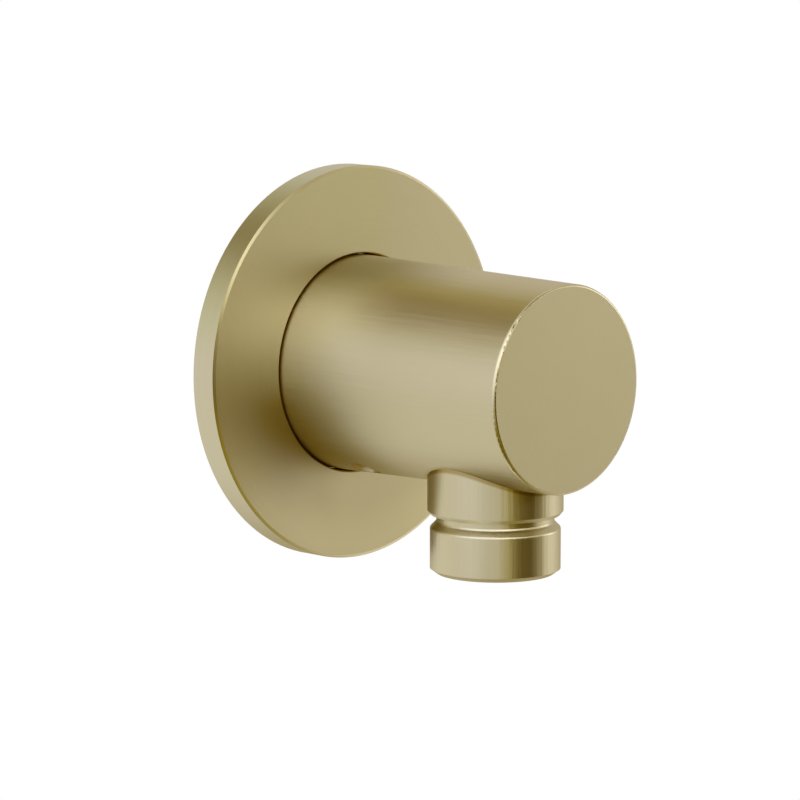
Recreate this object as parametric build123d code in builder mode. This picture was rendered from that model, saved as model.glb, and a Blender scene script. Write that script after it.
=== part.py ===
from build123d import *
import math
import os

# Wall outlet elbow for a hand shower, in millimetres.
# Frame: origin on the barrel axis in the plane of the wall, +Z up, the barrel
# stands out of the wall along -Y and the wall nipple goes into it along +Y.

# ---------------------------------------------------------------- dimensions
# round cover plate (rose)
rose_r = 32.46            # outer radius
rose_t = 4.86             # thickness, back face in the wall plane
rose_bevel_r = 0.46       # shallow bevel round the front edge, radial and axial
rose_bevel_t = 0.22
rose_hole_r = 18.07       # clearance hole around the barrel
rose_hole_edge = 0.2      # its edge is broken
rose_recess_r = 30.0      # outer radius of the turned recess in the back
rose_recess_d = 2.6       # depth of that recess
rose_boss_r = 21.6        # boss around the hole, holds the grip ring
rose_boss_back = -0.35    # the boss stops short of the wall

# barrel (elbow body), a slim cone turned from bar
barrel_r_rose = 17.78     # radius where it leaves the rose
barrel_r_face = 16.622    # radius at the front face
barrel_y_face = -51.22    # front face
barrel_y_back = -0.6      # back end, just clear of the wall
barrel_edge = 0.45        # rounding of the front edge
bore_r = 11.0             # bore that slips over the wall nipple
bore_y = -25.2            # bottom of that bore
channel_r = 6.0           # water channel
channel_y = -40.6         # where the drill's cone begins

# outlet, turned separately and screwed up into the barrel
outlet_y = -35.86         # outlet axis
neck_r = 10.896
seat_z = -12.5            # shoulder in the barrel
spigot_r = 8.3            # screwed-in spigot (plain at its major radius)
spigot_top_z = -5.2
neck_z = -20.79           # where the neck's lower chamfer begins
neck_ch_r = 0.52          # that chamfer, radial and axial
neck_ch_z = 0.62
groove_r = 9.443          # thread relief
groove_z = -22.57
band_r = 10.4775          # G1/2 major radius
band_top_z = -23.59
band_low_z = -30.15
end_z = -30.9
end_r = 9.43
waterway_r = 5.0
cartridge_bore_r = 7.3
ledge_z = -16.9

# grub screw M5, low on the barrel near the rose
grub_y = -13.85
grub_deg = 245.5          # angle about the barrel axis, 270 is straight down
grub_r = 2.5
grub_sink = 0.9           # countersink at the mouth of its hole

# wall nipple
nipple_r = 10.95
nipple_front_y = -24.8
nipple_shoulder_y = -2.2
thread_y0 = -0.05          # the full thread begins in the wall plane
thread_y1 = 17.0
thread_r = 10.4775        # G1/2 major radius
nipple_bore_r = 5.9
hex_af = 12.0
hex_y = -13.5             # bottom of the hexagon socket
oring_groove_r = 9.45
oring_ys = (-22.0, -18.0)
oring_groove_w = 2.1
oring_cs = 1.48           # squeezed section of the nipple rings

# non-return cartridge
cart_r = 7.2
cart_top_z = -17.0
cart_low_z = -29.2
cart_seat_z = -19.7
cart_seat_r = 3.4
cart_chamber_r = 5.9
valve_travel = 2.5

os.makedirs("parts", exist_ok=True)


def barrel_radius(y):
    """Radius of the barrel's cone at a distance y from the wall."""
    k = (barrel_r_face - barrel_r_rose) / (barrel_y_face + rose_t)
    return barrel_r_rose + k * (y + rose_t)


outlet_plane = Plane.XZ.offset(-outlet_y)
outlet_axis = Axis((0, outlet_y, 0), (0, 0, 1))

grub_a = math.radians(grub_deg)
grub_dir = (math.cos(grub_a), 0, math.sin(grub_a))
grub_surface = barrel_radius(grub_y)


def grub_plane(r):
    """Plane square to the grub screw's axis, at radius r from the barrel axis."""
    return Plane(
        origin=(r * grub_dir[0], grub_y, r * grub_dir[2]),
        x_dir=(0, 1, 0),
        z_dir=grub_dir,
    )


# ---------------------------------------------------------------- barrel
with BuildPart() as elbow_body:
    with BuildSketch(Plane.XY):
        with BuildLine():
            Polyline(
                (0, barrel_y_face),
                (barrel_r_face, barrel_y_face),
                (barrel_radius(barrel_y_back - 0.4), barrel_y_back - 0.4),
                (barrel_radius(barrel_y_back) - 0.4, barrel_y_back),
                (bore_r + 0.9, barrel_y_back),
                (bore_r, barrel_y_back - 1.8),
                (bore_r, bore_y),
                (channel_r, bore_y),
                (channel_r, channel_y),
                (0, channel_y - channel_r / math.tan(math.radians(59))),
                close=True,
            )
        make_face()
    revolve(axis=Axis.Y)
    fillet(
        elbow_body.edges()
        .filter_by(GeomType.CIRCLE)
        .filter_by(lambda e: abs(e.center().Y - barrel_y_face) < 1e-3),
        radius=barrel_edge,
    )
    # pocket for the neck and tapped hole for the spigot, from below
    with BuildSketch(Plane((0, outlet_y, seat_z))):
        Circle(neck_r + 0.015)
    extrude(amount=-12, mode=Mode.SUBTRACT)
    with BuildSketch(Plane((0, outlet_y, seat_z - 0.1))):
        Circle(spigot_r)
    extrude(amount=seat_z * -1 + 0.1, mode=Mode.SUBTRACT)
    # tapped hole for the grub screw, countersunk at its mouth
    with BuildSketch(grub_plane(bore_r - 1.0)):
        Circle(grub_r)
    extrude(amount=9, mode=Mode.SUBTRACT)
    with BuildSketch(grub_plane(grub_surface - grub_sink)):
        Circle(grub_r)
    extrude(amount=grub_sink + 0.3, taper=-45, mode=Mode.SUBTRACT)
elbow_body.part.label = "elbow_body"

# ---------------------------------------------------------------- outlet nipple
with BuildPart() as outlet_nipple:
    with BuildSketch(outlet_plane):
        with BuildLine():
            Polyline(
                (waterway_r, spigot_top_z),
                (spigot_r - 0.8, spigot_top_z),
                (spigot_r, spigot_top_z - 0.8),
                (spigot_r, seat_z),
                (8.75, seat_z),
                (8.75, seat_z - 0.9),
                (10.05, seat_z - 0.9),
                (10.05, seat_z),
                (neck_r, seat_z),
                (neck_r, neck_z),
                (neck_r - neck_ch_r, neck_z - neck_ch_z),
                (groove_r, neck_z - neck_ch_z),
                (groove_r, groove_z),
                (band_r, band_top_z),
                (band_r, band_low_z),
                (end_r, end_z),
                (cartridge_bore_r + 0.45, end_z),
                (cartridge_bore_r, end_z + 0.45),
                (cartridge_bore_r, ledge_z),
                (waterway_r, ledge_z),
                close=True,
            )
        make_face()
    revolve(axis=outlet_axis)
    # soften the inner corner of the relief and the shoulder of the band
    fillet(
        outlet_nipple.edges()
        .filter_by(GeomType.CIRCLE)
        .filter_by(lambda e: abs(e.radius - groove_r) < 1e-3 and abs(e.center().Z - groove_z) < 1e-3),
        radius=0.45,
    )
    fillet(
        outlet_nipple.edges()
        .filter_by(GeomType.CIRCLE)
        .filter_by(lambda e: abs(e.radius - band_r) < 1e-3 and abs(e.center().Z - band_top_z) < 1e-3),
        radius=0.5,
    )
outlet_nipple.part.label = "outlet_nipple"

# ring under the outlet's shoulder
with BuildPart() as outlet_o_ring:
    with BuildSketch(outlet_plane):
        with Locations((9.4, seat_z - 0.45)):
            Circle(0.44)
    revolve(axis=outlet_axis)
outlet_o_ring.part.label = "outlet_o_ring"

# ---------------------------------------------------------------- non-return cartridge
with BuildPart() as check_valve_housing:
    with BuildSketch(outlet_plane):
        with BuildLine():
            Polyline(
                (cart_seat_r + 0.9, cart_top_z),
                (cart_r - 0.4, cart_top_z),
                (cart_r, cart_top_z - 0.4),
                (cart_r, -17.75),
                (6.2, -17.75),
                (6.2, -19.05),
                (cart_r, -19.05),
                (cart_r, cart_low_z + 0.3),
                (cart_r - 0.3, cart_low_z),
                (cart_chamber_r, cart_low_z),
                (cart_chamber_r, cart_seat_z),
                (cart_seat_r, cart_seat_z),
                (cart_seat_r, cart_top_z - 0.9),
                close=True,
            )
        make_face()
    revolve(axis=outlet_axis)
check_valve_housing.part.label = "check_valve_housing"

with BuildPart() as check_valve_o_ring:
    with BuildSketch(outlet_plane):
        with Locations((6.74, -18.4)):
            Circle(0.52)
    revolve(axis=outlet_axis)
check_valve_o_ring.part.label = "check_valve_o_ring"

# spider that guides the poppet's stem and carries the spring
guide_top_z = -27.4
guide_low_z = -29.0
boss_top_z = -24.45
with BuildPart() as check_valve_guide:
    with BuildSketch(Plane((0, outlet_y, guide_low_z))):
        Circle(cart_chamber_r - 0.05)
        Circle(4.75, mode=Mode.SUBTRACT)
        with PolarLocations(0, 4):
            with Locations((2.6, 0)):
                Rectangle(5.0, 1.3)
        Circle(2.2)
    extrude(amount=guide_top_z - guide_low_z)
    with BuildSketch(Plane((0, outlet_y, guide_low_z))):
        Circle(2.2)
    extrude(amount=boss_top_z - guide_low_z)
    with BuildSketch(Plane((0, outlet_y, guide_low_z - 0.5))):
        Circle(1.27)
    extrude(amount=8, mode=Mode.SUBTRACT)
check_valve_guide.part.label = "check_valve_guide"

# poppet: retaining cap, neck that holds the seal, plate and guide stem
with BuildPart() as check_valve_poppet:
    with BuildSketch(outlet_plane):
        with BuildLine():
            Polyline(
                (0, -18.6),
                (1.6, -18.8),
                (2.7, -19.5),
                (2.7, -19.8),
                (1.95, -19.8),
                (1.95, -20.6),
                (4.9, -20.6),
                (4.9, -21.4),
                (4.5, -21.8),
                (1.2, -21.8),
                (1.2, -27.7),
                (0.9, -28.0),
                (0, -28.0),
                close=True,
            )
        make_face()
    revolve(axis=outlet_axis)
check_valve_poppet.part.label = "check_valve_poppet"

with BuildPart() as check_valve_seal:
    with BuildSketch(outlet_plane):
        with BuildLine():
            Polyline((1.98, -20.58), (4.7, -20.58), (4.7, -20.0), (4.5, -19.82), (1.98, -19.82), close=True)
        make_face()
    revolve(axis=outlet_axis)
check_valve_seal.part.label = "check_valve_seal"

# compression spring between the poppet's plate and the spider
wire_r = 0.21
coil_r = 3.1
spring_low_z = guide_top_z + wire_r + 0.02
spring_high_z = -21.8 - wire_r - 0.02
spring_turns = 5.5
with BuildPart() as check_valve_spring:
    with BuildLine() as spring_path:
        Helix(
            pitch=(spring_high_z - spring_low_z) / spring_turns,
            height=spring_high_z - spring_low_z,
            radius=coil_r,
            center=(0, outlet_y, spring_low_z),
        )
    with BuildSketch(Plane(origin=spring_path.line @ 0, z_dir=spring_path.line % 0)):
        Circle(wire_r)
    sweep(is_frenet=True)
check_valve_spring.part.label = "check_valve_spring"

# ---------------------------------------------------------------- wall nipple
oring_half = oring_groove_w / 2
nipple_profile = [(nipple_bore_r, nipple_front_y), (nipple_r - 0.9, nipple_front_y), (nipple_r, nipple_front_y + 0.9)]
for y in oring_ys:
    nipple_profile += [
        (nipple_r, y - oring_half),
        (oring_groove_r, y - oring_half),
        (oring_groove_r, y + oring_half),
        (nipple_r, y + oring_half),
    ]
nipple_profile += [
    (nipple_r, grub_y - 1.75),
    (9.6, grub_y - 0.4),
    (9.6, grub_y + 0.4),
    (nipple_r, grub_y + 1.75),
    (nipple_r, nipple_shoulder_y - 0.5),
    (nipple_r - 0.5, nipple_shoulder_y),
    (9.2, nipple_shoulder_y),
    (9.2, thread_y0 - (thread_r - 9.2)),
    (thread_r, thread_y0),
    (thread_r, thread_y1 - 1.2),
    (thread_r - 1.2, thread_y1),
    (nipple_bore_r + 0.6, thread_y1),
    (nipple_bore_r, thread_y1 - 0.6),
]
with BuildPart() as wall_nipple:
    with BuildSketch(Plane.XY):
        with BuildLine():
            Polyline(*nipple_profile, close=True)
        make_face()
    revolve(axis=Axis.Y)
    # hexagon socket from the front end, for the fitting key
    with BuildSketch(Plane(origin=(0, nipple_front_y, 0), x_dir=(1, 0, 0), z_dir=(0, 1, 0))):
        RegularPolygon(radius=hex_af / 2, side_count=6, major_radius=False)
    extrude(amount=hex_y - nipple_front_y, mode=Mode.SUBTRACT)
wall_nipple.part.label = "wall_nipple"

with BuildPart() as nipple_o_ring_front:
    with BuildSketch(Plane.XY):
        with Locations(((oring_groove_r + bore_r) / 2, oring_ys[0])):
            Circle(oring_cs / 2)
    revolve(axis=Axis.Y)
nipple_o_ring_front.part.label = "nipple_o_ring_front"

with BuildPart() as nipple_o_ring_rear:
    with BuildSketch(Plane.XY):
        with Locations(((oring_groove_r + bore_r) / 2, oring_ys[1])):
            Circle(oring_cs / 2)
    revolve(axis=Axis.Y)
nipple_o_ring_rear.part.label = "nipple_o_ring_rear"

# ---------------------------------------------------------------- grub screw
grub_head_r = grub_surface - 1.5     # sunk below the barrel's surface
grub_tip_r = 9.78
grub_cone = grub_r - 0.04 - 0.41     # length of its 45 degree point
with BuildPart() as grub_screw:
    with BuildSketch(grub_plane(grub_tip_r + grub_cone)):
        Circle(grub_r - 0.04)
    extrude(amount=grub_head_r - grub_tip_r - grub_cone)
    chamfer(grub_screw.edges().filter_by(GeomType.CIRCLE).sort_by(lambda e: e.center().Z)[0], length=0.35)
    with Locations(grub_plane(grub_tip_r + grub_cone / 2)):
        Cone(bottom_radius=0.41, top_radius=grub_r - 0.04, height=grub_cone)
    with BuildSketch(grub_plane(grub_head_r)):
        RegularPolygon(radius=1.25, side_count=6, major_radius=False)
    extrude(amount=-2.4, mode=Mode.SUBTRACT)
grub_screw.part.label = "grub_screw"

# ---------------------------------------------------------------- rose
ring_y = -2.05            # centre of the grip ring
with BuildPart() as wall_rose:
    with BuildSketch(Plane.XY):
        with BuildLine():
            Polyline(
                (rose_hole_r + rose_hole_edge, -rose_t),
                (rose_r - rose_bevel_r, -rose_t),
                (rose_r, -rose_t + rose_bevel_t),
                (rose_r, -0.15),
                (rose_r - 0.15, 0),
                (rose_recess_r, 0),
                (rose_recess_r, -rose_recess_d),
                (rose_boss_r, -rose_recess_d),
                (rose_boss_r, rose_boss_back),
                (rose_hole_r, rose_boss_back),
                (rose_hole_r, ring_y + 0.8),
                (19.4, ring_y + 0.8),
                (19.4, ring_y - 0.8),
                (rose_hole_r, ring_y - 0.8),
                (rose_hole_r, -rose_t + rose_hole_edge),
                close=True,
            )
        make_face()
    revolve(axis=Axis.Y)
wall_rose.part.label = "wall_rose"

# grip ring in the rose, it just touches the barrel
grip_in_r = barrel_radius(ring_y) + 0.015
with BuildPart() as rose_o_ring:
    with BuildSketch(Plane.XY):
        with Locations(((grip_in_r + 19.38) / 2, ring_y)):
            Circle((19.38 - grip_in_r) / 2)
    revolve(axis=Axis.Y)
rose_o_ring.part.label = "rose_o_ring"

# soft ring between the rose and the wall
with BuildPart() as rose_gasket:
    with BuildSketch(Plane.XY):
        with BuildLine():
            Polyline(
                (26.4, -rose_recess_d + 0.02),
                (29.85, -rose_recess_d + 0.02),
                (29.85, -0.3),
                (29.6, -0.02),
                (26.7, -0.02),
                (26.4, -0.3),
                close=True,
            )
        make_face()
    revolve(axis=Axis.Y)
rose_gasket.part.label = "rose_gasket"

# ---------------------------------------------------------------- files
export_step(elbow_body.part, "parts/elbow_body.step")
export_step(outlet_nipple.part, "parts/outlet_nipple.step")
export_step(outlet_o_ring.part, "parts/outlet_o_ring.step")
export_step(check_valve_housing.part, "parts/check_valve_housing.step")
export_step(check_valve_guide.part, "parts/check_valve_guide.step")
export_step(check_valve_poppet.part, "parts/check_valve_poppet.step")
export_step(check_valve_seal.part, "parts/check_valve_seal.step")
export_step(check_valve_spring.part, "parts/check_valve_spring.step")
export_step(check_valve_o_ring.part, "parts/check_valve_o_ring.step")
export_step(wall_nipple.part, "parts/wall_nipple.step")
export_step(nipple_o_ring_front.part, "parts/nipple_o_ring_front.step")
export_step(nipple_o_ring_rear.part, "parts/nipple_o_ring_rear.step")
export_step(grub_screw.part, "parts/grub_screw.step")
export_step(wall_rose.part, "parts/wall_rose.step")
export_step(rose_o_ring.part, "parts/rose_o_ring.step")
export_step(rose_gasket.part, "parts/rose_gasket.step")
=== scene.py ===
"""Looks of the wall outlet elbow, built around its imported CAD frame."""

import math

import bmesh
import bpy
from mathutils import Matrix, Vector


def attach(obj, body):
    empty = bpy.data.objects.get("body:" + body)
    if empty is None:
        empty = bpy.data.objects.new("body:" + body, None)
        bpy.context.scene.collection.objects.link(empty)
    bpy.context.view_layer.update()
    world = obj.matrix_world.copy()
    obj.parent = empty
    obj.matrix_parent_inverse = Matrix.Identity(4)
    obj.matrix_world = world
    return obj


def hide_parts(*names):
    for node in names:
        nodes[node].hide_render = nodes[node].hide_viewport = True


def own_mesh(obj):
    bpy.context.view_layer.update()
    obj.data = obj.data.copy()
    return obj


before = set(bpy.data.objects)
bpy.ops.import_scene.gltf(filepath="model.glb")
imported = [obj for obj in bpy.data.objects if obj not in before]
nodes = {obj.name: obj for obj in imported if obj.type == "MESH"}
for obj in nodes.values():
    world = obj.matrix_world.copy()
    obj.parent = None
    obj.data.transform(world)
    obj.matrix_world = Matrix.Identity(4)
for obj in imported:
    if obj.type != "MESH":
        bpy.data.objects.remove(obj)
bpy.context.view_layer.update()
scene = bpy.context.scene
MM = 0.001


# ------------------------------------------------------------------ node helpers
def new_material(name):
    m = bpy.data.materials.new(name)
    m.use_nodes = True
    m.node_tree.nodes.clear()
    return m, m.node_tree


def add(tree, kind, **settings):
    n = tree.nodes.new(kind)
    for key, value in settings.items():
        setattr(n, key, value)
    return n


def feed(tree, socket, value):
    """Puts a number, a vector or another node's output on an input socket."""
    if isinstance(value, bpy.types.NodeSocket):
        tree.links.new(value, socket)
    else:
        socket.default_value = value


def calc(tree, op, *values):
    n = add(tree, "ShaderNodeMath", operation=op)
    for i, v in enumerate(values):
        feed(tree, n.inputs[i], v)
    return n.outputs[0]


def vec(tree, op, a, b=None, scale=None, out="Vector"):
    n = add(tree, "ShaderNodeVectorMath", operation=op)
    feed(tree, n.inputs[0], a)
    if b is not None:
        feed(tree, n.inputs[1], b)
    if scale is not None:
        feed(tree, n.inputs["Scale"], scale)
    return n.outputs[out]


def object_coords(tree):
    return add(tree, "ShaderNodeTexCoord").outputs["Object"]


def noise(tree, coords, scale=1.0, detail=2.0, rough=0.5):
    n = add(tree, "ShaderNodeTexNoise")
    feed(tree, n.inputs["Vector"], coords)
    n.inputs["Scale"].default_value = scale
    n.inputs["Detail"].default_value = detail
    n.inputs["Roughness"].default_value = rough
    return n.outputs[0]


def ramp(tree, fac, stops):
    n = add(tree, "ShaderNodeValToRGB")
    e = n.color_ramp.elements
    while len(e) < len(stops):
        e.new(0.5)
    for item, (pos, col) in zip(e, stops):
        item.position = pos
        item.color = (*col, 1.0)
    feed(tree, n.inputs[0], fac)
    return n.outputs[0]


def tint(colour, k):
    return tuple(min(1.0, c * k) for c in colour)


def step(tree, value, a, b, low=0.0, high=1.0):
    """A smooth step from low at a to high at b."""
    n = add(tree, "ShaderNodeMapRange", interpolation_type="SMOOTHSTEP")
    for name, v in (("Value", value), ("From Min", a), ("From Max", b), ("To Min", low), ("To Max", high)):
        feed(tree, n.inputs[name], v)
    return n.outputs[0]


def parts_of(tree, coords):
    n = add(tree, "ShaderNodeSeparateXYZ")
    feed(tree, n.inputs[0], coords)
    return n.outputs


def away_from(tree, coords, axis, centre):
    """Distance from an axis through a centre."""
    flat = vec(tree, "MULTIPLY", vec(tree, "SUBTRACT", coords, centre), tuple(0.0 if i == axis else 1.0 for i in range(3)))
    return vec(tree, "LENGTH", flat, out="Value")


def turned_coords(tree, coords, axis, centre, fine, loose):
    """Coordinates for lines that run round an axis: fine is lines a metre, loose is how much they change round it."""
    local = vec(tree, "SUBTRACT", coords, centre)
    flat = vec(tree, "MULTIPLY", local, tuple(0.0 if i == axis else 1.0 for i in range(3)))
    radius = vec(tree, "LENGTH", flat, out="Value")
    round_dir = vec(tree, "NORMALIZE", flat)
    sep = add(tree, "ShaderNodeSeparateXYZ")
    feed(tree, sep.inputs[0], local)
    across = calc(tree, "ADD", radius, sep.outputs[axis])
    across = calc(tree, "MULTIPLY", across, fine)
    around = vec(tree, "SCALE", round_dir, scale=loose)
    step = add(tree, "ShaderNodeCombineXYZ")
    feed(tree, step.inputs[axis], across)
    return vec(tree, "ADD", around, step.outputs[0])


def surface(tree, colour, rough, metallic=0.0, height=None, depth=0.0, specular=0.5):
    out = add(tree, "ShaderNodeOutputMaterial")
    b = add(tree, "ShaderNodeBsdfPrincipled")
    feed(tree, b.inputs["Base Color"], colour)
    feed(tree, b.inputs["Roughness"], rough)
    b.inputs["Metallic"].default_value = metallic
    b.inputs["Specular IOR Level"].default_value = specular
    if height is not None:
        bump = add(tree, "ShaderNodeBump")
        bump.inputs["Strength"].default_value = 1.0
        bump.inputs["Distance"].default_value = depth
        feed(tree, bump.inputs["Height"], height)
        tree.links.new(bump.outputs[0], b.inputs["Normal"])
    tree.links.new(b.outputs[0], out.inputs[0])
    return b


# ------------------------------------------------------------------ brushed gold
GOLD = (0.505, 0.447, 0.265)


def brushed_gold(name, rough, make_lines, streak=0.0, shade=None, polish=None, lined=None):
    """Satin plated metal: fine brush lines, broader streaks, and a slow change of tone over the piece."""
    m, t = new_material(name)
    co = object_coords(t)
    fine = noise(t, make_lines(t, co, 1.0), detail=3.0, rough=0.6)
    broad = noise(t, make_lines(t, co, 0.22), detail=2.0)
    slow = noise(t, co, scale=70.0, detail=2.0)
    mix = calc(t, "ADD", calc(t, "MULTIPLY", fine, 0.6), calc(t, "MULTIPLY", broad, 0.4))
    tone = calc(t, "ADD", calc(t, "MULTIPLY", mix, 0.65), calc(t, "MULTIPLY", slow, 0.35))
    colour = ramp(t, tone, [(0.30, tint(GOLD, 0.965)), (0.50, GOLD), (0.70, tint(GOLD, 1.035))])
    r = calc(t, "MULTIPLY_ADD", mix, 0.10, rough - 0.05)
    r = calc(t, "MULTIPLY_ADD", slow, 0.03, calc(t, "SUBTRACT", r, 0.015))
    h = calc(t, "ADD", calc(t, "MULTIPLY", fine, 0.35), calc(t, "MULTIPLY", broad, 1.0))
    # shade multiplies painted light and shade into the colour
    if shade:
        colour = vec(t, "MULTIPLY", colour, shade(t, co))
    if polish:
        r = calc(t, "ADD", r, polish(t, co))
    if lined:
        h = calc(t, "MULTIPLY", h, lined(t, co))
    surface(t, colour, r, 1.0, h, (0.8 + streak) * 1e-6)
    return m


def along_y(t, co, k):
    return vec(t, "MULTIPLY", co, (6500 * k, 110 * k, 6500 * k))


def along_z(t, co, k):
    return vec(t, "MULTIPLY", co, (5200 * k, 5200 * k, 70 * k))


def round_y(t, co, k):
    return turned_coords(t, co, 1, (0, 0, 0), 6500 * k, 6 * k)


# Inside the rose's hole the colour is tinted warm: a painted brown cast for the shade in the gap.
GAP_SHADE_TINT = (1.42, 1.04, 0.30)


# Painted shade: darker and warmer in the corner where the outlet meets the barrel, on both pieces. The barrel's other
# painted light and shade and its painted countersink highlight are multiplied in here too.
def barrel_painted_light(t, co):
    near = step(t, away_from(t, co, 2, (0, -0.03586, 0)), 0.0109, 0.0116)
    near = calc(t, "MAXIMUM", near, step(t, parts_of(t, co)[2], -0.0095, -0.0085))
    corner = ramp(t, near, [(0.0, (0.84, 0.78, 0.62)), (1.0, (1, 1, 1))])
    return vec(t, "MULTIPLY", vec(t, "MULTIPLY", corner, barrel_light_and_shade(t, co)), screw_seat_highlight(t, co))


# Painted light and shade on the barrel: lighter on its left side next to the rose, darker under it and along its top
# next to the rose, and warmer where it runs inside the rose's hole.
def barrel_light_and_shade(t, co):
    x, y, z = parts_of(t, co)
    side = calc(t, "MULTIPLY", step(t, y, -0.028, -0.008), step(t, x, -0.006, -0.012))
    side = calc(t, "MULTIPLY", side, calc(t, "MULTIPLY", step(t, z, -0.012, -0.008), step(t, z, 0.016, 0.011)))
    under = calc(t, "MULTIPLY", step(t, y, -0.026, -0.010), calc(t, "MULTIPLY", step(t, z, -0.010, -0.014), step(t, x, 0.002, -0.006)))
    top = calc(t, "MULTIPLY", step(t, y, -0.036, -0.026), step(t, z, 0.0145, 0.0160))
    light = ramp(t, side, [(0.0, (1, 1, 1)), (1.0, (1.11, 1.14, 1.20))])
    light = vec(t, "MULTIPLY", light, ramp(t, top, [(0.0, (1, 1, 1)), (1.0, (0.90, 0.90, 0.88))]))
    # painted warm cast for the shade in the gap, on the barrel inside the rose's hole
    light = vec(t, "MULTIPLY", light, ramp(t, step(t, y, -0.0049, -0.0047), [(0.0, (1, 1, 1)), (1.0, (1.10, 0.98, 0.82))]))
    return vec(t, "MULTIPLY", light, ramp(t, under, [(0.0, (1, 1, 1)), (1.0, (0.86, 0.83, 0.76))]))


# Painted highlight: the countersink of the grub screw's hole is painted much lighter.
def screw_seat_highlight(t, co):
    y = parts_of(t, co)[1]
    sunk = calc(t, "MULTIPLY_ADD", y, 0.024978, 0.01778 + 0.024978 * 0.00486)
    sunk = calc(t, "SUBTRACT", sunk, away_from(t, co, 1, (0, 0, 0)))
    off = vec(t, "CROSS_PRODUCT", vec(t, "SUBTRACT", co, (0, -0.01385, 0)), (-0.4147, 0, -0.9100))
    at = calc(t, "MULTIPLY", step(t, sunk, 0.00003, 0.00010), step(t, sunk, 0.0024, 0.0014))
    at = calc(t, "MULTIPLY", at, step(t, vec(t, "LENGTH", off, out="Value"), 0.0042, 0.0038))
    return ramp(t, at, [(0.0, (1, 1, 1)), (1.0, (1.80, 1.80, 1.76))])


# The rounded edge of the barrel's face is polished.
def barrel_edge(t, co):
    at = calc(t, "MULTIPLY", step(t, parts_of(t, co)[1], -0.05074, -0.05080), step(t, away_from(t, co, 1, (0, 0, 0)), 0.01615, 0.01622))
    return calc(t, "MULTIPLY", at, -0.13)


# The brush lines run along the barrel and stop at its face.
def barrel_lines(t, co):
    return step(t, parts_of(t, co)[1], -0.0511, -0.0505)


# Painted shade on the outlet: darker and warmer next to where it meets the barrel.
def outlet_painted_shade(t, co):
    cone = calc(t, "MULTIPLY_ADD", parts_of(t, co)[1], 0.024978, 0.01778 + 0.024978 * 0.00486)
    near = step(t, calc(t, "SUBTRACT", away_from(t, co, 1, (0, 0, 0)), cone), 0.0003, 0.0007)
    return ramp(t, near, [(0.0, (0.66, 0.57, 0.36)), (1.0, (1, 1, 1))])


# Painted light and shade on the rose: its face is lighter towards its lower edge, at its bottom and on its right,
# darker in a painted shade next to the barrel on its left, and a little yellower at its top; its rim carries a
# painted highlight, paler and cooler, strongest at its top; and the wall of its hole gets a warm cast painted for the
# brown shade in the gap. Its turned bevel is smoother than its face.
def rose_painted_light(t, co):
    x, y, z = parts_of(t, co)
    r = away_from(t, co, 1, (0, 0, 0))
    # painted light towards the lower edge, at the bottom and on the right; painted shade next to the barrel on the
    # left
    edge = calc(t, "MULTIPLY", step(t, r, 0.022, 0.031), step(t, z, 0.006, -0.010))
    edge = calc(t, "MULTIPLY", edge, step(t, y, -0.0046, -0.0048))
    inner = calc(t, "MULTIPLY", step(t, r, 0.026, 0.019), calc(t, "MULTIPLY", step(t, z, -0.001, -0.006), step(t, z, -0.018, -0.013)))
    inner = calc(t, "MULTIPLY", inner, step(t, x, -0.004, -0.012))
    tone = calc(t, "MULTIPLY_ADD", edge, 0.26, 1.0)
    low = calc(t, "MULTIPLY", step(t, r, 0.031, 0.021), calc(t, "MULTIPLY", step(t, z, -0.014, -0.019), step(t, x, -0.010, -0.002)))
    tone = calc(t, "MULTIPLY_ADD", low, 0.14, tone)
    tone = calc(t, "MULTIPLY_ADD", step(t, x, 0.004, 0.022), 0.06, tone)
    face = vec(t, "SCALE", ramp(t, inner, [(0.0, (1, 1, 1)), (1.0, (0.87, 0.83, 0.76))]), scale=tone)
    high = calc(t, "MULTIPLY", step(t, z, 0.010, 0.020), calc(t, "MULTIPLY", step(t, x, 0.012, 0.002), step(t, y, -0.0046, -0.0048)))
    face = vec(t, "MULTIPLY", face, ramp(t, high, [(0.0, (1, 1, 1)), (1.0, (1.0, 1.0, 0.91))]))
    # painted highlight on the rim: paler and cooler, strongest at its top
    rim = calc(t, "MULTIPLY", step(t, r, 0.0316, 0.0319), step(t, y, -0.00462, -0.0044))
    pale = ramp(t, calc(t, "MULTIPLY", z, 1 / 0.032), [(0.0, (1.03, 1.04, 1.12)), (0.12, (1.03, 1.04, 1.12)), (0.28, (0.98, 1.03, 1.01)),
                                                       (0.70, (0.96, 1.03, 0.97)), (0.83, (1.05, 1.17, 1.42)), (1.0, (1.07, 1.17, 1.40))])
    pale = vec(t, "ADD", vec(t, "SCALE", vec(t, "SUBTRACT", pale, (1, 1, 1)), scale=rim), (1, 1, 1))
    # painted warm cast on the hole's wall for the brown shade in the gap
    gap_tint = ramp(t, step(t, r, 0.01815, 0.01810), [(0.0, (1, 1, 1)), (1.0, GAP_SHADE_TINT)])
    return vec(t, "MULTIPLY", vec(t, "MULTIPLY", face, pale), gap_tint)


def rose_bevel(t, co):
    at = calc(t, "MULTIPLY", step(t, away_from(t, co, 1, (0, 0, 0)), 0.03194, 0.03201), step(t, parts_of(t, co)[1], -0.00462, -0.00466))
    return calc(t, "MULTIPLY", at, -0.12)


gold_barrel = brushed_gold("gold_barrel", 0.40, along_y, streak=24.0, shade=barrel_painted_light, polish=barrel_edge, lined=barrel_lines)
gold_rose = brushed_gold("gold_rose", 0.42, round_y, streak=5.0, shade=rose_painted_light, polish=rose_bevel)
gold_outlet = brushed_gold("gold_outlet", 0.32, along_z, streak=45.0, shade=outlet_painted_shade)


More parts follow.
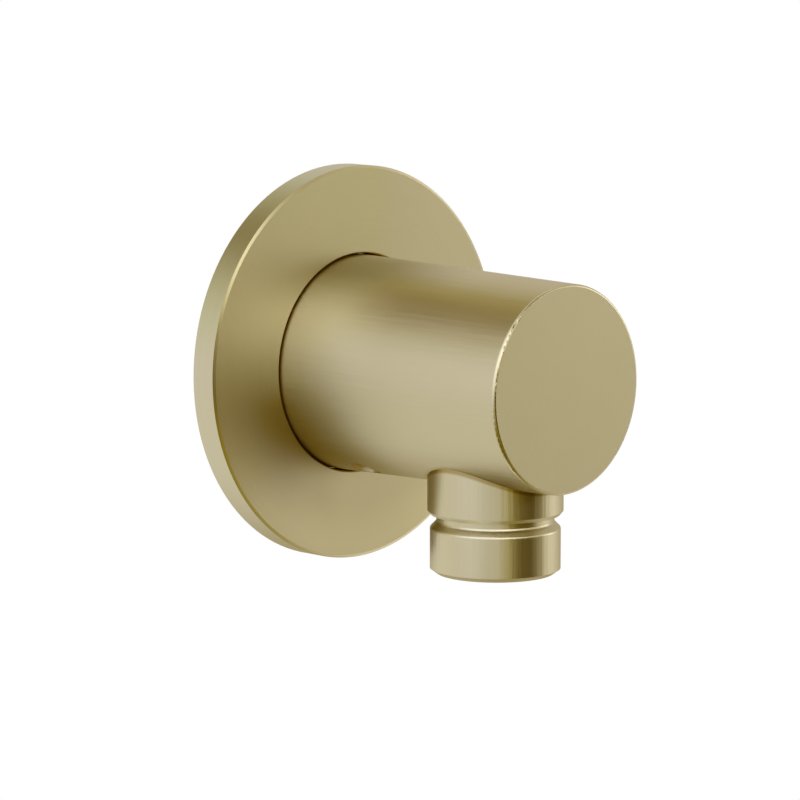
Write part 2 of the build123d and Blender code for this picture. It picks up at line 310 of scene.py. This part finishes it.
# ------------------------------------------------------------------ other materials
def turned_brass():
    m, t = new_material("raw_brass")
    co = object_coords(t)
    lines = noise(t, turned_coords(t, co, 1, (0, 0, 0), 5200, 3.0), detail=3.0, rough=0.65)
    stain = noise(t, co, scale=260.0, detail=4.0)
    tone = calc(t, "ADD", calc(t, "MULTIPLY", lines, 0.4), calc(t, "MULTIPLY", stain, 0.6))
    colour = ramp(t, tone, [(0.25, (0.40, 0.255, 0.085)), (0.5, (0.56, 0.385, 0.145)), (0.75, (0.66, 0.47, 0.20))])
    rough = calc(t, "MULTIPLY_ADD", tone, 0.22, 0.20)
    surface(t, colour, rough, 1.0, lines, 1.6e-6)
    return m


def steel(name, colour, rough):
    m, t = new_material(name)
    co = object_coords(t)
    grain = noise(t, co, scale=2600.0, detail=3.0)
    wear = noise(t, co, scale=500.0, detail=2.0)
    tone = calc(t, "ADD", calc(t, "MULTIPLY", grain, 0.5), calc(t, "MULTIPLY", wear, 0.5))
    col = ramp(t, tone, [(0.3, tint(colour, 0.75)), (0.7, tint(colour, 1.2))])
    surface(t, col, calc(t, "MULTIPLY_ADD", tone, 0.2, rough - 0.1), 1.0, grain, 1.0e-6)
    return m


def rubber():
    m, t = new_material("black_rubber")
    co = object_coords(t)
    grain = noise(t, co, scale=3800.0, detail=3.0)
    bloom = noise(t, co, scale=300.0, detail=3.0)
    col = ramp(t, bloom, [(0.3, (0.018, 0.012, 0.004)), (0.7, (0.030, 0.021, 0.008))])
    surface(t, col, calc(t, "MULTIPLY_ADD", bloom, 0.2, 0.60), 0.0, grain, 4.0e-6, 0.06)
    return m


def foam():
    m, t = new_material("gasket_foam")
    co = object_coords(t)
    v = add(t, "ShaderNodeTexVoronoi")
    feed(t, v.inputs["Vector"], co)
    v.inputs["Scale"].default_value = 2600.0
    cells = v.outputs["Distance"]
    slow = noise(t, co, scale=500.0, detail=3.0)
    tone = calc(t, "ADD", calc(t, "MULTIPLY", cells, 0.6), calc(t, "MULTIPLY", slow, 0.4))
    col = ramp(t, tone, [(0.1, (0.022, 0.022, 0.024)), (0.8, (0.075, 0.075, 0.078))])
    surface(t, col, calc(t, "MULTIPLY_ADD", slow, 0.12, 0.80), 0.0, cells, 6.0e-5, 0.25)
    return m


def plastic(name, colour, rough):
    m, t = new_material(name)
    co = object_coords(t)
    fine = noise(t, co, scale=3200.0, detail=2.0)
    slow = noise(t, co, scale=240.0, detail=2.0)
    col = ramp(t, slow, [(0.3, tint(colour, 0.92)), (0.7, tint(colour, 1.05))])
    surface(t, col, calc(t, "MULTIPLY_ADD", slow, 0.12, rough - 0.06), 0.0, fine, 2.0e-6)
    return m


raw_brass = turned_brass()
screw_steel = steel("screw_steel", (0.46, 0.40, 0.26), 0.38)  # yellow passivated
spring_steel = steel("spring_steel", (0.60, 0.60, 0.59), 0.26)
black_rubber = rubber()
gasket_foam = foam()
valve_plastic = plastic("valve_plastic", (0.78, 0.77, 0.72), 0.42)
poppet_plastic = plastic("poppet_plastic", (0.055, 0.16, 0.42), 0.38)


def dress(node, material):
    data = nodes[node].data
    data.materials.clear()
    data.materials.append(material)


dress("elbow_body", gold_barrel)
dress("wall_rose", gold_rose)
dress("outlet_nipple", gold_outlet)
dress("wall_nipple", raw_brass)
dress("grub_screw", screw_steel)
dress("check_valve_spring", spring_steel)  # hidden, the coil below stands for it
for ring in ("outlet_o_ring", "nipple_o_ring_front", "nipple_o_ring_rear", "rose_o_ring", "check_valve_seal", "check_valve_o_ring"):
    dress(ring, black_rubber)
dress("rose_gasket", gasket_foam)
dress("check_valve_housing", valve_plastic)
dress("check_valve_guide", valve_plastic)
dress("check_valve_poppet", poppet_plastic)


# ------------------------------------------------------------------ valve spring, drawn as one fixed coil
def coil_spring():
    turns, coil, wire, low, high, centre = 5.5, 3.1, 0.21, -27.17, -22.03, -35.86
    n, k = 330, 14
    rise = (high - low) / (2 * math.pi * turns)
    bm = bmesh.new()
    rings = []
    for i in range(n + 1):
        a = 2 * math.pi * turns * i / n
        out = Vector((math.cos(a), math.sin(a), 0.0))
        side = Vector((-coil * math.sin(a), coil * math.cos(a), rise)).normalized().cross(out)
        at = Vector((0.0, centre, low + rise * a)) + coil * out
        rings.append([bm.verts.new(at + wire * (math.cos(b) * out + math.sin(b) * side)) for b in (2 * math.pi * j / k for j in range(k))])
    for lower, upper in zip(rings, rings[1:]):
        for j in range(k):
            bm.faces.new((lower[j], lower[(j + 1) % k], upper[(j + 1) % k], upper[j]))
    bm.faces.new(rings[0])
    bm.faces.new(rings[-1])
    bmesh.ops.scale(bm, vec=(MM, MM, MM), verts=bm.verts[:])
    bmesh.ops.recalc_face_normals(bm, faces=bm.faces[:])
    mesh = bpy.data.meshes.new("check_valve_spring_coil")
    bm.to_mesh(mesh)
    bm.free()
    mesh.polygons.foreach_set("use_smooth", [True] * len(mesh.polygons))
    mesh.set_sharp_from_angle(angle=math.radians(50))
    obj = bpy.data.objects.new("check_valve_spring_coil", mesh)
    scene.collection.objects.link(obj)
    mesh.materials.append(spring_steel)
    return obj


coil = coil_spring()
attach(coil, "elbow")
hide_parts("check_valve_spring")
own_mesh(coil)


# ------------------------------------------------------------------ wall nipple with its real thread
def threaded_nipple():
    n = 144
    pitch, r_major = 1.814, 10.4775
    depth, arc = 0.6403 * pitch, 0.1373 * pitch
    r_root = r_major - depth
    y_a, y_b = -1.3275, 17.0
    # one pitch of the rounded 55 degree form, from root to root
    form = []
    swing = math.radians(62.5)
    for i in range(4):
        f = swing * i / 3
        form.append((arc * math.sin(f), r_root + arc - arc * math.cos(f)))
    for i in range(7):
        f = swing * (i / 3 - 1)
        form.append((pitch / 2 + arc * math.sin(f), r_major - arc + arc * math.cos(f)))
    for i in range(3):
        f = swing * (1 - i / 3)
        form.append((pitch - arc * math.sin(f), r_root + arc - arc * math.cos(f)))
    per = len(form)

    def blank(y):
        """Radius of the turned blank before the thread is cut."""
        if y < -0.05:
            return r_major - (-0.05 - y)
        if y > 15.8:
            return r_major - (y - 15.8)
        return r_major

    bm = bmesh.new()
    ang = [2 * math.pi * j / n for j in range(n)]
    turns = math.ceil((y_b - y_a) / pitch) + 2
    grid = []
    for k in range(turns * per):
        turn, i = divmod(k, per)
        s, r = form[i]
        s += y_a - pitch + turn * pitch
        row = []
        for j in range(n):
            y = min(max(s + pitch * j / n, y_a), y_b)
            q = min(r, blank(y))
            row.append(bm.verts.new((q * math.sin(ang[j]), y, q * math.cos(ang[j]))))
        grid.append(row)
    for k in range(len(grid) - 1):
        for j in range(n):
            if j < n - 1:
                bm.faces.new((grid[k][j], grid[k][j + 1], grid[k + 1][j + 1], grid[k + 1][j]))
            elif k + 1 + per < len(grid):
                bm.faces.new((grid[k][j], grid[k + per][0], grid[k + 1 + per][0], grid[k + 1][j]))

    def ring(r, y):
        return [bm.verts.new((r * math.sin(a), y, r * math.cos(a))) for a in ang]

    def hexagon(y):
        out = []
        for a in ang:
            b = (a % (math.pi / 3)) - math.pi / 6
            q = 6.0 / math.cos(b)
            out.append(bm.verts.new((q * math.sin(a), y, q * math.cos(a))))
        return out

    def skin(rings):
        for lower, upper in zip(rings, rings[1:]):
            for j in range(n):
                bm.faces.new((lower[j], lower[(j + 1) % n], upper[(j + 1) % n], upper[j]))

    body = [hexagon(-24.8), ring(10.05, -24.8), ring(10.95, -23.9)]
    for y in (-22.0, -18.0):
        body += [ring(10.95, y - 1.05), ring(9.45, y - 1.05), ring(9.45, y + 1.05), ring(10.95, y + 1.05)]
    body += [ring(10.95, -15.6), ring(9.6, -14.25), ring(9.6, -13.45), ring(10.95, -12.1)]
    body += [ring(10.95, -2.7), ring(10.45, -2.2), ring(9.2, -2.2), ring(9.2, y_a)]
    skin(body)
    skin([ring(blank(y_b), y_b), ring(6.5, 17.0), ring(5.9, 16.4), ring(5.9, -13.5), hexagon(-13.5), hexagon(-24.8)])
    bmesh.ops.remove_doubles(bm, verts=bm.verts[:], dist=2e-4)
    bmesh.ops.dissolve_degenerate(bm, edges=bm.edges[:], dist=1e-5)
    loose = [v for v in bm.verts if not v.link_faces]
    bmesh.ops.delete(bm, geom=loose, context="VERTS")
    bmesh.ops.scale(bm, vec=(MM, MM, MM), verts=bm.verts[:])
    bmesh.ops.recalc_face_normals(bm, faces=bm.faces[:])
    mesh = bpy.data.meshes.new("wall_nipple_threaded")
    bm.to_mesh(mesh)
    bm.free()
    mesh.polygons.foreach_set("use_smooth", [True] * len(mesh.polygons))
    mesh.set_sharp_from_angle(angle=math.radians(35))
    obj = bpy.data.objects.new("wall_nipple_threaded", mesh)
    scene.collection.objects.link(obj)
    mesh.materials.append(raw_brass)
    return obj


nipple = threaded_nipple()
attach(nipple, "elbow")
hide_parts("wall_nipple")

# ------------------------------------------------------------------ studio
# Soft lights (positive) and dark flags (negative) round a white room: azimuth from the front towards
# the right, elevation, sharpness, and how much they add to the room.
ROOM = (0.759, 0.704, 0.610)
LIGHTS = (
    ("key", -5.6, 24.6, 6.6, (3.48, 3.67, 5.22)),
    ("left", -85.8, 24.3, 4.9, (1.27, 1.48, 2.12)),
    ("right", 65.4, 6.2, 51.7, (2.72, 2.97, 3.10)),
    ("back low", -159.6, -31.5, 5.6, (0.64, 0.73, 0.90)),
    ("front flag", -8.9, 4.6, 17.6, (-2.53, -2.71, -4.79)),
    ("floor flag", -55.5, -55.1, 2.8, (-0.76, -0.78, -1.12)),
    ("ceiling flag", 188.8, 39.7, 12.5, (-0.80, -0.90, -1.62)),
    ("top flag", 10.2, 44.0, 13.3, (-2.78, -2.94, -4.53)),
    ("low right", 138.2, -19.3, 4.5, (-0.32, -0.36, -0.52)),
    ("low left", -94.4, -73.3, 22.4, (1.37, 1.45, 1.88)),
    ("low side", 77.5, -31.4, 14.7, (0.56, 0.58, 0.69)),
    ("high right", 57.8, 64.3, 19.1, (0.53, 0.60, 0.71)),
    ("back right", 154.1, 23.1, 7.8, (0.28, 0.30, 0.36)),
    ("right flag", 16.6, -5.2, 28.2, (-3.69, -3.85, -6.77)),
)
DARKEST = (0.045, 0.030, 0.006)


def heading(az, el):
    a, e = math.radians(az), math.radians(el)
    return Vector((math.sin(a) * math.cos(e), -math.cos(a) * math.cos(e), math.sin(e)))


world = bpy.data.worlds.new("studio")
scene.world = world
world.use_nodes = True
w = world.node_tree
w.nodes.clear()
sky = add(w, "ShaderNodeTexCoord").outputs["Generated"]
total = ROOM
for _, az, el, sharp, amount in LIGHTS:
    d = vec(w, "DOT_PRODUCT", sky, heading(az, el), out="Value")
    lobe = calc(w, "EXPONENT", calc(w, "MULTIPLY_ADD", d, sharp, -sharp))
    total = vec(w, "ADD", total, vec(w, "SCALE", amount, scale=lobe))
total = vec(w, "MAXIMUM", total, DARKEST)
lit = add(w, "ShaderNodeBackground")
feed(w, lit.inputs["Color"], total)
lit.inputs["Strength"].default_value = 1.0
white = add(w, "ShaderNodeBackground")
white.inputs["Color"].default_value = (1, 1, 1, 1)
seen = add(w, "ShaderNodeLightPath")
both = add(w, "ShaderNodeMixShader")
w.links.new(seen.outputs["Is Camera Ray"], both.inputs[0])
w.links.new(lit.outputs[0], both.inputs[1])
w.links.new(white.outputs[0], both.inputs[2])
w.links.new(both.outputs[0], add(w, "ShaderNodeOutputWorld").inputs[0])

scene.view_settings.view_transform = "Standard"
scene.view_settings.look = "None"
# the shadows of this finish are warmer than its lights: gentle curves on green and blue
scene.view_settings.use_curve_mapping = True
curves = scene.view_settings.curve_mapping
for x, y in ((0.03, 0.0235), (0.08, 0.069), (0.12, 0.1105), (0.19, 0.186), (0.30, 0.299), (0.60, 0.60)):
    curves.curves[1].points.new(x, y)
for x, y in ((0.027, 0.0125), (0.045, 0.0375), (0.075, 0.071), (0.127, 0.137), (0.19, 0.203), (0.296, 0.317), (0.60, 0.615)):
    curves.curves[2].points.new(x, y)
curves.update()

# pale floor, far enough below that nothing of the part reaches it
bpy.ops.mesh.primitive_plane_add(size=6.0, location=(0, 0, -0.25))
floor = bpy.context.object
floor.name = "floor"
fm, ft = new_material("floor_white")
f_tone = noise(ft, object_coords(ft), scale=3.0)
f_out = add(ft, "ShaderNodeOutputMaterial")
f_em = add(ft, "ShaderNodeEmission")
feed(ft, f_em.inputs["Color"], ramp(ft, f_tone, [(0.0, (1.0, 1.0, 1.0)), (1.0, (1.0, 1.0, 1.0))]))
f_em.inputs["Strength"].default_value = 1.0
ft.links.new(f_em.outputs[0], f_out.inputs[0])
floor.data.materials.append(fm)
floor.visible_glossy = False
floor.visible_diffuse = False
floor.visible_shadow = False

# ------------------------------------------------------------------ camera
cam_data = bpy.data.cameras.new("camera")
cam = bpy.data.objects.new("camera", cam_data)
scene.collection.objects.link(cam)
cam_data.sensor_width = 36.0
cam_data.lens = 172.011
cam_data.clip_start, cam_data.clip_end = 0.01, 50.0
cam.location = (-0.437487, -0.449962, 0.083861)
cam.rotation_mode = "QUATERNION"
cam.rotation_quaternion = (-heading(-45.1227, 8.21939)).to_track_quat("-Z", "Y")
scene.camera = cam
